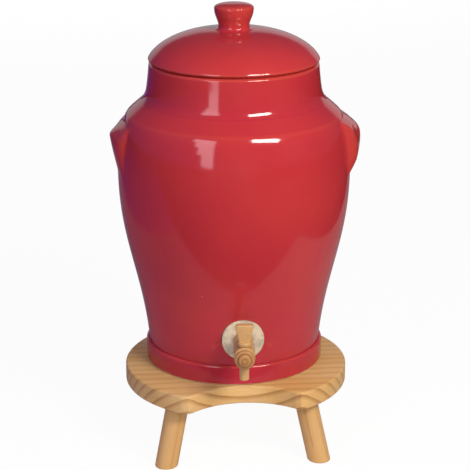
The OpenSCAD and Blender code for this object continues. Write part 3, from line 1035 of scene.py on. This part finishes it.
@dataclass
class Lid:
    """The domed lid with its knob and the flange that keeps it on the neck."""

    pot: Pot
    overhang: float = 0.6
    lip: float = 2.5
    edge_ease: float = 0.9
    dome_h: float = 24.4
    dome_leave: Point = (0.07, 0.39)
    dome_arrive: Point = (0.6, 0.04)
    thickness: float = 7
    hollow_steps: int = 20
    flange_len: float = 10
    flange_t: float = 5
    flange_edge_r: float = 1.2
    gap: float = 1
    knob_h: float = 21.6
    knob_neck_r: float = 12.6
    knob_root_ease: float = 3.6
    knob_leave: Point = (0, 0.49)
    knob_r: float = 16.4
    knob_arrive: Point = (0, 0.45)
    crown_h: float = 3.8
    crown_leave: Point = (0, 0.72)
    crown_arrive: Point = (0.6, 0)
    paleness: float = 0.6
    pales_over: float = 8
    faces_up: float = 0.2
    hollow_room: float = 2

    def profile(self) -> list[Point]:
        """Draws the lid's section, from the middle of its hollow round to the middle of its knob."""
        pot = self.pot
        rim_h = pot.rim_h
        outer = pot.rim_r - pot.wall - self.gap
        inner = outer - self.flange_t
        edge = (pot.rim_r + self.overhang, rim_h + self.lip)
        seat = (pot.rim_r - pot.rim_edge_r, rim_h)
        hollow_r = edge[0] - self.thickness
        hollow_h = self.dome_h - self.thickness + self.lip
        last = math.degrees(math.acos(inner / hollow_r))
        dome = arc((0, 0), 1, 90, last, self.hollow_steps)
        hollow = [(hollow_r * x, rim_h + hollow_h * y) for x, y in dome]
        foot = rim_h - self.flange_len
        flange = corner((inner, foot), self.flange_edge_r, 180, 270, steps=4)
        flange += corner((outer, foot), self.flange_edge_r, 270, 360, steps=4) + [(outer, rim_h), seat,
                                                                                  edge]
        root = (self.knob_neck_r, edge[1] + self.dome_h)
        bulge = (self.knob_r, root[1] + self.knob_h - self.crown_h)
        crown = (0, root[1] + self.knob_h)
        points = hollow + flange + sweep(edge, self.dome_leave, self.dome_arrive, root, steps=48)
        points += sweep(root, self.knob_leave, self.knob_arrive, bulge, steps=24)
        points += sweep(bulge, self.crown_leave, self.crown_arrive, crown, steps=20)
        return eased(eased(points, root, self.knob_root_ease), edge, self.edge_ease)

    def coat(self, bm: BMesh) -> None:
        """Gives each face of the lid its material: red on top, liner in the hollow, bare at the seat."""
        pot = self.pot
        seat_r = pot.rim_r - pot.rim_edge_r
        hollow_top = pot.rim_h + self.lip + self.dome_h - self.hollow_room
        for face in bm.faces:
            middle = face.calc_center_median()
            r = middle.xy.length
            if face.normal.z > self.faces_up or r > seat_r:
                continue
            if middle.z < pot.rim_h + NEAR:
                face.material_index = Coat.CLAY
            elif r < seat_r - self.thickness and middle.z < hollow_top:
                face.material_index = Coat.LINER

    def pale_knob(self, bm: BMesh) -> None:
        """Marks the knob's glaze paler and more orange towards its top."""
        thin_and_highlight = bm.verts.layers.float[BREAK_AND_LIGHT]
        root_h = self.pot.rim_h + self.lip + self.dome_h
        for v in bm.verts:
            drained = min(1, max(0, v.co.z - root_h) / self.pales_over)
            v[thin_and_highlight] = max(v[thin_and_highlight], self.paleness * drained)

    def build(self, finishes: Finishes) -> None:
        """Turns and glazes the lid."""
        bm = turned(self.profile())
        self.coat(bm)
        mark_glaze_break_and_painted_light(bm)
        self.pale_knob(bm)
        bmesh.ops.transform(bm, matrix=self.pot.place(), verts=bm.verts)
        finish_piece("lid_glazed", bm, finishes.coats(), Body.LID, "lid")


@dataclass
class Stand:
    """The round pine stand: a board with a cut-out for a glass, on four splayed dowel legs."""

    seat_r: float = (BOARD_HIGH[0] - BOARD_LOW[0]) / 2
    seat_t: float = BOARD_HIGH[2] - BOARD_LOW[2]
    seat_h: float = BOARD_HIGH[2]
    edge_r: float = 2
    cutout_r: float = 62
    cutout_depth: float = 33
    corner_r: float = 7.5
    corner_facets: int = 2
    leg_r: float = 9.5
    leg_inset: float = 19
    leg_splay: float = 16.5
    front_spread: float = 45
    back_spread: float = 40
    socket_depth: float = 11
    glue_gap: float = 0.1
    glue_bed: float = 0.2
    drill_len: float = 30
    foot_edge_r: float = 1.2
    ring_lean: float = 42
    board_shift: Place = (0.03, 0.004, 0)
    leg_shift: Place = (0.1, 0.02, 0.01)
    leg_turns: Point = (35, 60)

    def outline(self) -> list[Point]:
        """Draws the board's outline in plan, anticlockwise from its right front corner."""
        hollow_y = self.cutout_depth - self.seat_r - self.cutout_r
        near, far = self.seat_r - self.corner_r, self.cutout_r + self.corner_r
        y = (near ** 2 + hollow_y ** 2 - far ** 2) / 2 / hollow_y
        x = math.sqrt(near ** 2 - y * y)
        rim = math.degrees(math.atan2(y, x))
        cut = math.degrees(math.atan2(hollow_y - y, -x))
        back = cut + 180
        right = arc((x, y), self.corner_r, cut - 360 if cut > rim else cut, rim, self.corner_facets)
        left = [(-x, y) for x, y in right[::-1]]
        edge = arc((0, 0), self.seat_r, rim, 180 - rim, steps=150)
        hollow = arc((0, hollow_y), self.cutout_r, 180 - back, back, steps=60)
        return right + edge[1:-1] + left + hollow[1:-1]

    def leg_place(self, side: Side, end: End) -> Matrix:
        """Gives a leg's place: local Z runs up the leg from the board's underside.

        Args:
            side: Which side the leg is on.
            end: Which end the leg is at.

        Returns:
            The place.
        """
        spread = self.front_spread if end is End.FRONT else self.back_spread
        bearing = Matrix.Rotation(math.radians(end * (90 - side * spread)), 4, "Z")
        foot = Matrix.Translation((self.seat_r - self.leg_inset, 0, self.seat_h - self.seat_t))
        return bearing @ foot @ Matrix.Rotation(math.radians(-self.leg_splay), 4, "Y")

    def build_board(self) -> None:
        """Saws the board, eases its edges and bores the leg sockets."""
        outline = [(x, y, self.seat_h) for x, y in self.outline()]
        bm = sawn(outline, Vector((0, 0, -self.seat_t)), self.edge_r)
        bit_r = self.leg_r + self.glue_gap
        for side in Side:
            for end in End:
                bit = rod(self.leg_place(side, end), -self.drill_len, self.socket_depth, (bit_r, bit_r))
                bm = worked(bm, bit, Joinery.CUT)
        lean = math.radians(self.ring_lean)
        wood = SawnPine("pine_board", turn=(-lean, 0, 0), shift=self.board_shift).material()
        finish_piece("seat_board_pine", bm, [wood], Body.STAND, "seat_board", sharp=24)

    def build_leg(self, side: Side, end: End) -> None:
        """Turns one leg and cuts its foot level with the floor.

        Args:
            side: Which side the leg is on.
            end: Which end the leg is at.
        """
        place = self.leg_place(side, end)
        bm = rod(place, -self.seat_h - self.leg_r, self.socket_depth - self.glue_bed,
                 (self.leg_r, self.leg_r))
        cut = bmesh.ops.bisect_plane(bm, geom=list(bm.verts) + list(bm.edges) + list(bm.faces),
                                     plane_co=(0, 0, 0), plane_no=(0, 0, 1),
                                     clear_inner=True)["geom_cut"]
        rim = [g for g in cut if isinstance(g, BMEdge)]
        bmesh.ops.holes_fill(bm, edges=rim, sides=0)
        bmesh.ops.recalc_face_normals(bm, faces=bm.faces)
        ease_edges(bm, rim, self.foot_edge_r, steps=3)
        node = f"leg_{end.name.lower()}_{side.name.lower()}"
        # Each leg is its own stretch of wood, turned its own way about its length
        upright = Matrix.Rotation(math.radians(90), 4, "Y") @ place.to_3x3().inverted().to_4x4()
        spin = Matrix.Rotation(math.radians(self.leg_turns[0] * side + self.leg_turns[1] * end), 4, "X")
        turn = (spin @ upright).to_euler()
        along, across, deep = self.leg_shift
        # Painted shade: the legs, under the board, take darker pine colours than the board
        wood = SawnPine(f"pine_{node}", turn=tuple(turn), shift=(along * side, across * end, deep),
                        early="#BC9762", late="#A67A42", warm="#B98D52", ring_mm=6.5, wander=3,
                        fibre_mm=0.7).material()
        finish_piece(f"{node}_pine", bm, [wood], Body.STAND, node, sharp=30)

    def build(self) -> None:
        """Builds the board and the four legs."""
        self.build_board()
        for side in Side:
            for end in End:
                self.build_leg(side, end)


@dataclass
class Tap:
    """The plug tap: a cork in the pot's wall, a turned barrel through it, and a key that turns."""

    pot: Pot
    skew: float = 4
    fit_room: float = 0.05
    cork_d: float = 35
    cork_len: float = 25
    cork_out: float = 3
    cork_taper: float = 3
    cork_edge_r: float = 0.9
    drill_past: float = 3
    barrel_d: float = 17.2
    barrel_root_d: float = 16
    barrel_edge_r: float = 0.7
    barrel_swell: Point = (0, 0.25)
    tail_d: float = 13.6
    tail_out: float = 7
    tail_edge_r: float = 0.8
    bore_d: float = 4.4
    key_out: float = 35.5
    bush_d: float = 11.6
    nose_wood: float = 1
    groove_w: float = 1.8
    groove_depth: float = 1.6
    groove_corner_r: float = 0.5
    bead_w: float = 3.6
    bead_d: float = 16.4
    bead_turn: float = 80
    button_d: float = 11.6
    button_len: float = 2.6
    button_leave: Point = (0, 0.6)
    button_arrive: Point = (0.7, 0)
    plug_d: float = 9.4
    plug_taper: float = 1
    collar_gap: float = 0.3
    collar_d: float = 11.4
    collar_h: float = 3
    collar_foot_r: float = 0.6
    collar_top_r: float = 1
    paddle_w: float = 14.6
    paddle_root_w: float = 8.8
    paddle_h: float = 14.5
    paddle_t: float = 6
    paddle_corner_r: float = 2.4
    paddle_edge_r: float = 0.9
    paddle_tenon: float = 1.5
    spout_d: float = 7.8
    spout_len: float = 12.5
    spout_edge_r: float = 0.9
    spout_step: float = 0.3
    outlet_d: float = 3.6
    outlet_edge_r: float = 0.4
    cork_front: float = field(init=False)
    cork_back: float = field(init=False)
    tail_end: float = field(init=False)
    key_at: float = field(init=False)
    axis_z: float = field(init=False)

    def __post_init__(self) -> None:
        """Works out the stations along the tap, from the pot's axis outwards, and its height."""
        wall_r = radius_at(self.pot.wall_curve(), self.pot.tap_h)
        self.cork_front = wall_r + self.cork_out
        self.cork_back = self.cork_front - self.cork_len
        self.tail_end = self.cork_back - self.tail_out
        self.key_at = wall_r + self.key_out
        self.axis_z = self.pot.stands_at + self.pot.tap_h

    def level(self) -> Matrix:
        """Gives the place on the pot's axis at the tap's height."""
        return Matrix.Translation((0, self.pot.setback, self.axis_z))

    def cork_place(self) -> Matrix:
        """Gives the cork's place: local Z runs forwards from the pot's axis."""
        return self.level() @ Matrix.Rotation(math.radians(90), 4, "X")

    def aside(self) -> Matrix:
        """Gives the tap's turn to the left about the middle of the cork's front."""
        reach = Matrix.Translation((0, -self.cork_front, 0))
        turn = Matrix.Rotation(math.radians(-self.skew), 4, "Z")
        return self.level() @ reach @ turn @ reach.inverted()

    def barrel_place(self) -> Matrix:
        """Gives the barrel's place: local Z runs forwards along it."""
        return self.aside() @ Matrix.Rotation(math.radians(90), 4, "X")

    def key_place(self) -> Matrix:
        """Gives the key's place: local Z runs up from the barrel's axis."""
        return self.aside() @ Matrix.Translation((0, -self.key_at, 0))

    def barrel_radius(self, station: float) -> float:
        """Gives the radius of the barrel's tapered tail at a distance from the pot's axis."""
        share = (station - self.tail_end) / (self.cork_front - self.tail_end)
        return (self.tail_d + (self.barrel_root_d - self.tail_d) * share) / 2

    def build_cork(self, finishes: Finishes) -> None:
        """Cuts the tapered cork and bores it for the barrel, a little askew."""
        big, small = self.cork_d / 2, (self.cork_d - self.cork_taper) / 2
        profile = [(0, self.cork_back)] + corner((small, self.cork_back), self.cork_edge_r, -90, 0,
                                                 steps=4)
        profile += corner((big, self.cork_front), self.cork_edge_r, 0, 90, steps=5) + [(0,
                                                                                        self.cork_front)]
        bm = turned(profile, SMALL_TURN_STEPS)
        bmesh.ops.transform(bm, matrix=self.cork_place(), verts=bm.verts)
        low, high = self.cork_back - self.drill_past, self.cork_front + self.drill_past
        radii = (self.barrel_radius(low) + self.fit_room, self.barrel_radius(high) + self.fit_room)
        bm = worked(bm, rod(self.barrel_place(), low, high, radii), Joinery.CUT)
        finish_piece("bung_cork", bm, [finishes.cork], Body.CROCK, "cork_bung")

    def barrel_profile(self) -> list[Point]:
        """Draws the barrel's section, from the end of its bore round its tail to the tip of its nose."""
        bore, barrel = self.bore_d / 2, self.barrel_d / 2
        groove = barrel - self.groove_depth
        bush = self.bush_d / 2
        groove_at = self.key_at + bush + self.nose_wood
        bead_at = groove_at + self.groove_w
        button_at = bead_at + self.bead_w
        half = self.bead_w / 2
        root = (self.barrel_radius(self.cork_front), self.cork_front)
        shoulder = (barrel, self.key_at - bush)
        button = (self.button_d / 2, button_at)
        nose = (0, button_at + self.button_len)
        points = [(0, self.key_at), (bore, self.key_at), (bore, self.tail_end)]
        points += corner((self.tail_d / 2, self.tail_end), self.tail_edge_r, -90, 0, steps=4) + [root]
        points += sweep(root, self.barrel_swell, self.barrel_swell, shoulder, steps=16)
        points += corner((barrel, groove_at), self.barrel_edge_r, 0, 90, steps=4)
        points += corner((groove, groove_at), self.groove_corner_r, 270, 180, steps=4)
        points += corner((groove, bead_at), self.groove_corner_r, 180, 90, steps=4)
        points += arc((self.bead_d / 2 - half, bead_at + half), half, -self.bead_turn, self.bead_turn,
                      steps=12)
        return points + [button] + sweep(button, self.button_leave, self.button_arrive, nose, steps=14)

    def build_barrel(self) -> None:
        """Turns the barrel and bores its upright hole for the bush."""
        bm = turned(self.barrel_profile(), SMALL_TURN_STEPS)
        place = self.barrel_place()
        bmesh.ops.transform(bm, matrix=place, verts=bm.verts)
        bit_r = self.bush_d / 2 + self.fit_room
        bit = rod(self.key_place(), -self.barrel_d, self.barrel_d, (bit_r, bit_r))
        bm = worked(bm, bit, Joinery.CUT)
        turn = place.to_3x3().inverted().to_euler()
        nose = self.key_at + self.bush_d / 2 + self.nose_wood
        wood = TurnedBeech("turned_beech_barrel", centre=tuple(place.translation * MM),
                           turn=tuple(turn), end_from_mm=nose).material()
        finish_piece("barrel_beech", bm, [wood], Body.CROCK, "tap_barrel", sharp=35)

    def key_profile(self) -> list[Point]:
        """Draws the turned part of the key, from the top of its outlet to the top of its collar."""
        outlet, spout, collar = self.outlet_d / 2, self.spout_d / 2, self.collar_d / 2
        barrel = self.barrel_d / 2
        low = -barrel - self.spout_len
        seat = barrel + self.collar_gap
        top = seat + self.collar_h
        slope = self.plug_taper / 2 / self.barrel_d
        middle = (self.plug_d - self.plug_taper / 2) / 2
        points = [(0, 0), (outlet, 0)] + corner((outlet, low), self.outlet_edge_r, 180, 270, steps=3)
        points += corner((spout, low), self.spout_edge_r, -90, 0, steps=6)
        points += [(spout, -barrel - self.spout_step), (middle - slope * barrel, -barrel)]
        points += [(middle + slope * seat, seat)]
        points += corner((collar, seat), self.collar_foot_r, -90, 0, steps=4)
        points += corner((collar, top), self.collar_top_r, 0, 90, steps=6)
        return points + [(0, top)]

    def paddle(self) -> BMesh:
        """Saws the paddle, wider at its rounded top, with eased edges and its foot in the collar."""
        half, root = self.paddle_w / 2, self.paddle_root_w / 2
        base = self.barrel_d / 2 + self.collar_gap + self.collar_h
        low, high = base - self.paddle_tenon, base + self.paddle_h
        outline = [(-root, low), (root, low), (root, base)]
        outline += corner((half, high), self.paddle_corner_r, 0, 90, steps=8)
        outline += corner((-half, high), self.paddle_corner_r, 90, 180, steps=8) + [(-root, base)]
        front = [(x, -self.paddle_t / 2, z) for x, z in outline]
        return sawn(front, Vector((0, self.paddle_t, 0)), self.paddle_edge_r)

    def build_key(self) -> None:
        """Turns the key, fuses its paddle on and bores its side port."""
        bm = worked(turned(self.key_profile(), SMALL_TURN_STEPS), self.paddle(), Joinery.FUSE)
        bit_r = self.outlet_d / 2
        bit = rod(Matrix.Rotation(math.radians(90), 4, "Y"), 0, self.plug_d, (bit_r, bit_r), steps=32)
        bm = worked(bm, bit, Joinery.CUT)
        place = self.key_place()
        bmesh.ops.transform(bm, matrix=place, verts=bm.verts)
        turn = place.to_3x3().inverted().to_euler()
        wood = TurnedBeech("turned_beech_key", centre=tuple(place.translation * MM),
                           turn=tuple(turn)).material()
        finish_piece("key_beech", bm, [wood], Body.KEY, "tap_key", sharp=35)

    def build(self, finishes: Finishes) -> None:
        """Builds the cork, the barrel and the key, and dresses the bush."""
        self.build_cork(finishes)
        self.build_barrel()
        self.build_key()
        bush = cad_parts["key_bush"].data
        bush.materials.clear()
        # The bush takes a darker copy of the cork
        bush.materials.append(Cork("oiled_cork", ground="#A98458", cloud="#94724A",
                                   fleck="#6A5238").material())
        LOG.info("key_bush: dressed in darker cork")


@dataclass
class Lamp:
    """A soft box, placed by where it stands round the pot, with its angles in degrees."""

    name: str
    bearing: float
    height: float
    width: float
    tall: float
    radiance: float
    colour: str = "#FFFFFF"
    away: float = 1.6
    roll: float = 0
    mirrored: bool = True

    def light(self, target: Vector) -> None:
        """Hangs the lamp and points it at the target."""
        area = bpy.data.lights.new(self.name, "AREA")
        area.shape = "RECTANGLE"
        area.size, area.size_y = self.width, self.tall
        area.energy = self.radiance * math.pi * self.width * self.tall
        area.color = linear(self.colour)[:3]
        lamp = bpy.data.objects.new(self.name, area)
        bpy.context.scene.collection.objects.link(lamp)
        a, e = math.radians(self.bearing), math.radians(self.height)
        outward = Vector((math.sin(a) * math.cos(e), -math.cos(a) * math.cos(e), math.sin(e)))
        lamp.location = target + outward * self.away
        roll = Quaternion((0, 0, 1), math.radians(self.roll))
        lamp.rotation_euler = (outward.to_track_quat("Z", "Y") @ roll).to_euler()
        lamp.visible_camera = False
        lamp.visible_glossy = self.mirrored


@dataclass
class LeftBox:
    """The left soft box, in upright strips, the last of which end higher than the first."""

    strips: int = 6
    bearing: float = -27
    strip_turn: float = 4
    strip_w: float = 0.113
    low: float = -1
    high: float = 39
    rise: float = 10
    rise_from: float = -20
    away: float = 1.6
    radiance: float = 4.2
    colour: str = "#F6EEF4"

    def lamps(self) -> list[Lamp]:
        """Makes a lamp for each strip, from the right to the left."""
        lamps = []
        for i in range(self.strips):
            low = max(self.low, self.rise_from + self.rise * i)
            tall = 2 * self.away * math.tan(math.radians((self.high - low) / 2))
            lamps.append(Lamp(f"left_soft_box_{i}", bearing=self.bearing - self.strip_turn * i,
                              height=(low + self.high) / 2, width=self.strip_w, tall=tall,
                              radiance=self.radiance, colour=self.colour, away=self.away))
        return lamps


@dataclass
class Studio:
    """The camera, the soft boxes, the dim room and the white floor, in metres and degrees."""

    eye: Place = (-0.1332, -1.3833, 0.6345)
    tilt: Place = (71.92, 0, -5.477)
    lens: float = 132.05
    film: float = 36
    target: Place = (0, 0.015, 0.25)
    floor_r: float = 8
    floor_white: str = "#F4F4F4"
    floor_glow: float = 0.95
    floor_mirrored: float = 0.06
    mirrored_right: str = "#9C9C9C"
    mirrored_left_shade: str = "#84688E"
    cloth_left: float = -0.41
    cloth_right: float = 0.375
    cloth_front: float = -0.212
    cloth_lift: float = 0.002
    grey_cloth: str = "#2E2E34"
    blue_cloth: str = "#4A44A8"
    room: float = 4
    dim: str = "#4C4C62"
    left_wall: str = "#5C48A0"
    backdrop: float = 0.48
    backdrop_way: Place = (0.1, 0.995, 0)

    def place_camera(self) -> None:
        """Sets the camera at the photograph's viewing angle."""
        data = bpy.data.cameras.new("camera")
        data.lens = self.lens
        data.sensor_width = self.film
        camera = bpy.data.objects.new("camera", data)
        camera.location = self.eye
        camera.rotation_euler = Euler([math.radians(t) for t in self.tilt])
        bpy.context.scene.collection.objects.link(camera)
        bpy.context.scene.camera = camera

    def lay_flat(self, name: str, bm: BMesh, material: bpy.types.Material) -> bpy.types.Object:
        """Makes a flat mesh part of the stage.

        Args:
            name: What it is.
            bm: Its mesh, in metres, which is used up.
            material: Its material.

        Returns:
            The object.
        """
        mesh = bpy.data.meshes.new(name)
        bm.to_mesh(mesh)
        bm.free()
        mesh.materials.append(material)
        flat = bpy.data.objects.new(name, mesh)
        bpy.context.scene.collection.objects.link(flat)
        return flat

    def white_floor(self) -> bpy.types.Material:
        """Builds the floor's material: white to the eye, matt in shadow, dull where mirrored, with
        painted shade to the left.
        """
        material, add = new_material("white_floor")
        path = add("LightPath").outputs
        through = add("Math", {0: path["Is Camera Ray"], 1: path["Is Transmission Ray"]},
                      operation="MAXIMUM")
        seen = add("Math", {0: through, 1: self.floor_glow}, operation="MULTIPLY")
        share = add("Math", {0: path["Is Glossy Ray"], 1: self.floor_mirrored, 2: seen},
                    operation="MULTIPLY_ADD")
        place = add("TexCoord").outputs["Object"]
        # Painted shade: as the glaze mirrors it, the floor turns darker and purple towards the left
        across = add("SeparateXYZ", {"Vector": place}).outputs["X"]
        leftward = add("MapRange", {"Value": across, "From Min": 0.05, "From Max": -0.3})
        mirrored = add("Mix", {"Factor": leftward, "A": linear(self.mirrored_right),
                               "B": linear(self.mirrored_left_shade)}, data_type="RGBA")
        shade = add("Mix", {"Factor": path["Is Glossy Ray"], "A": linear(self.floor_white),
                            "B": mirrored}, data_type="RGBA")
        matt = add("BsdfDiffuse", {"Color": shade})
        white = add("Emission", {"Color": linear("#FFFFFF"), "Strength": 1.0})
        mixed = add("MixShader", {0: share, 1: matt, 2: white})
        add("OutputMaterial", {"Surface": mixed})
        return material

    def lay_floor(self) -> None:
        """Lays a white floor that keeps a soft shadow."""
        bm = bmesh.new()
        bmesh.ops.create_circle(bm, cap_ends=True, radius=self.floor_r, segments=96)
        self.lay_flat("floor", bm, self.white_floor())

    def spread_cloth(self, name: str, low: Point, high: Point, colour: str, turn: float = 0) -> None:
        """Spreads a dark cloth on the floor, out of the camera's sight, for the pot's flanks to reflect.

        Args:
            name: Which cloth it is.
            low: Its left front corner.
            high: Its right back corner.
            colour: Its colour.
            turn: How far it is turned on the floor, in degrees, about its corner nearest the pot.
        """
        bm = bmesh.new()
        bmesh.ops.create_grid(bm, x_segments=1, y_segments=1, size=0.5)
        bmesh.ops.scale(bm, vec=(high[0] - low[0], high[1] - low[1], 1), verts=bm.verts)
        middle = ((low[0] + high[0]) / 2, (low[1] + high[1]) / 2, self.cloth_lift)
        bmesh.ops.translate(bm, vec=middle, verts=bm.verts)
        pivot = Vector((min(low[0], high[0], key=abs), low[1], 0))
        rotation = Matrix.Rotation(math.radians(turn), 3, "Z")
        bmesh.ops.rotate(bm, cent=pivot, matrix=rotation, verts=bm.verts)
        material, add = new_material("dark_cloth")
        matt = add("BsdfDiffuse", {"Color": linear(colour)})
        add("OutputMaterial", {"Surface": matt})
        self.lay_flat(name, bm, material).visible_camera = False

    def paint_room(self) -> None:
        """Surrounds the pot with a dim room that has a pale backdrop behind it."""
        world = bpy.data.worlds.new("room")
        bpy.context.scene.world = world
        world.use_nodes = True
        world.node_tree.nodes.clear()
        add = partial(add_node, world.node_tree)
        way = add("TexCoord").outputs["Generated"]
        behind = add("VectorMath", {0: way, 1: self.backdrop_way}, operation="DOT_PRODUCT")
        between = add("MapRange", {"Value": behind, "From Min": 0.79, "From Max": 0.87,
                                   "To Max": self.backdrop}, interpolation_type="SMOOTHSTEP")
        parts = add("SeparateXYZ", {"Vector": way}).outputs
        below = add("MapRange", {"Value": parts["Z"], "From Min": 0.34, "From Max": 0.22},
                    interpolation_type="SMOOTHSTEP")
        path = add("LightPath").outputs
        share = add("Math", {0: between, 1: below, 2: path["Is Camera Ray"]}, operation="MULTIPLY_ADD",
                    use_clamp=True)
        leftward = add("MapRange", {"Value": parts["X"], "From Min": -0.3, "From Max": -0.9})
        walls = add("Mix", {"Factor": leftward, "A": linear(self.dim), "B": linear(self.left_wall)},
                    data_type="RGBA")
        colour = add("Mix", {"Factor": share, "A": walls, "B": linear("#FFFFFF")}, data_type="RGBA")
        sky = add("Background", {"Color": colour, "Strength": 1.0})
        add("OutputWorld", {"Surface": sky})

    def hang_lamps(self) -> None:
        """Hangs the two soft boxes that the glaze mirrors, and the fills that it doesn't."""
        warm = "#FFF6EC"
        lamps = LeftBox().lamps() + [
            Lamp("left_fill", bearing=-62, height=38, width=0.7, tall=1.0, radiance=1.1,
                 mirrored=False),
            Lamp("front_reflector", bearing=-8, height=-4, width=1.2, tall=0.3, radiance=4.2,
                 mirrored=False),
            Lamp("right_key_box", bearing=30, height=36, width=0.7, tall=0.28, radiance=40.5,
                 colour=warm, roll=-18),
            Lamp("right_fill", bearing=54, height=10, width=0.6, tall=0.5, radiance=6.0, colour=warm,
                 mirrored=False),
            Lamp("back_fill", bearing=180, height=6, width=1.9, tall=0.9, radiance=4.5, away=2.6,
                 mirrored=False),
        ]
        for lamp in lamps:
            lamp.light(Vector(self.target))

    def build(self) -> None:
        """Sets up the camera, the floor, the room and the lights."""
        bpy.context.scene.view_settings.view_transform = "Standard"
        self.place_camera()
        self.lay_floor()
        room, front = self.room, self.cloth_front
        self.spread_cloth("front_cloth", (-room, -room), (room, front), self.grey_cloth)
        self.spread_cloth("left_cloth", (-room, front), (self.cloth_left, room), self.blue_cloth,
                          turn=5)
        self.spread_cloth("right_cloth", (self.cloth_right, front), (room, room), self.grey_cloth,
                          turn=-9.5)
        self.paint_room()
        self.hang_lamps()


def main() -> None:
    """Builds every piece in order."""
    logging.basicConfig(level=logging.INFO, format="%(name)s: %(message)s")
    finishes = Finishes.mixed()
    Studio().build()
    pot = Pot()
    pot.build(finishes)
    # The lugs are formed by hand, and differ
    Lug(pot, Side.LEFT, out=6.6, foot_h=164, foot_leave=(0.35, 0.33), tip_h=200,
        tip_arrive=(0.25, 0.36)).build(finishes)
    Lug(pot, Side.RIGHT, span=37, foot_h=165, tip_h=195.5, tip_leave=(0, 0.5), top_h=214, top_draw=15.5,
        top_arrive=(0.55, 0.35)).build(finishes)
    Lid(pot).build(finishes)
    Stand().build()
    Tap(pot).build(finishes)


if __name__ == "__main__":
    main()
